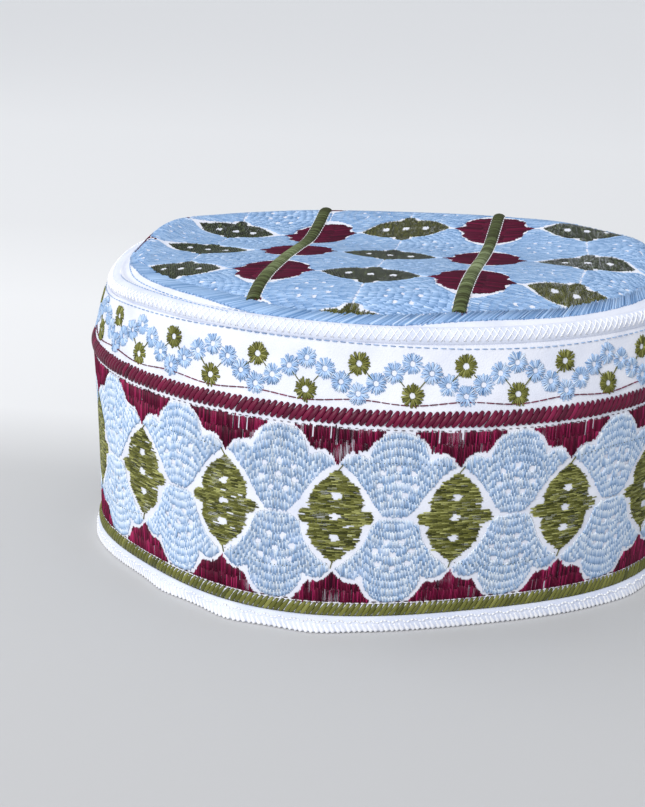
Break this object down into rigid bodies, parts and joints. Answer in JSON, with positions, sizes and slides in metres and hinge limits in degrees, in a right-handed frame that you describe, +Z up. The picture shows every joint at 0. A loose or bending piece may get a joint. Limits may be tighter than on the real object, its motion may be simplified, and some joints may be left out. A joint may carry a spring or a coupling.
{
  "type": "prayer cap",
  "caption": "Oval flat-topped prayer cap of stiff white cotton with an embroidered two-tier side band, a rolled seam, a dished embroidered crown and a bound lower edge.",
  "frame": {"origin": "under the middle of the cap, on the surface that its hem stands on", "axes": "+X along the long way of the oval, to the right as the picture shows it; -Y towards the viewer's side; +Z up through the crown"},
  "size_m": [0.202, 0.1761, 0.1032],
  "materials": {
    "hem": "white cotton overcast with white thread",
    "green_rope": "olive green silk rope stitch",
    "lower_band": "white cotton covered with pale blue, maroon and olive satin stitch",
    "maroon_rope": "maroon silk rope stitch",
    "upper_band": "white cotton with a chain of small blue and green eyelets",
    "seam_roll": "white cotton roll covered with crossed white stitches",
    "crown_panel": "white cotton covered with pale blue, maroon and olive satin stitch",
    "crown_rib_left": "olive green padded satin stitch",
    "crown_rib_right": "olive green padded satin stitch"
  },
  "bodies": {
    "root": {"hem": "hem", "green_rope": "green_rope", "lower_band": "lower_band", "maroon_rope": "maroon_rope", "upper_band": "upper_band", "seam_roll": "seam_roll", "crown_panel": "crown_panel", "crown_rib_left": "crown_rib_left", "crown_rib_right": "crown_rib_right"}
  },
  "joints": []
}
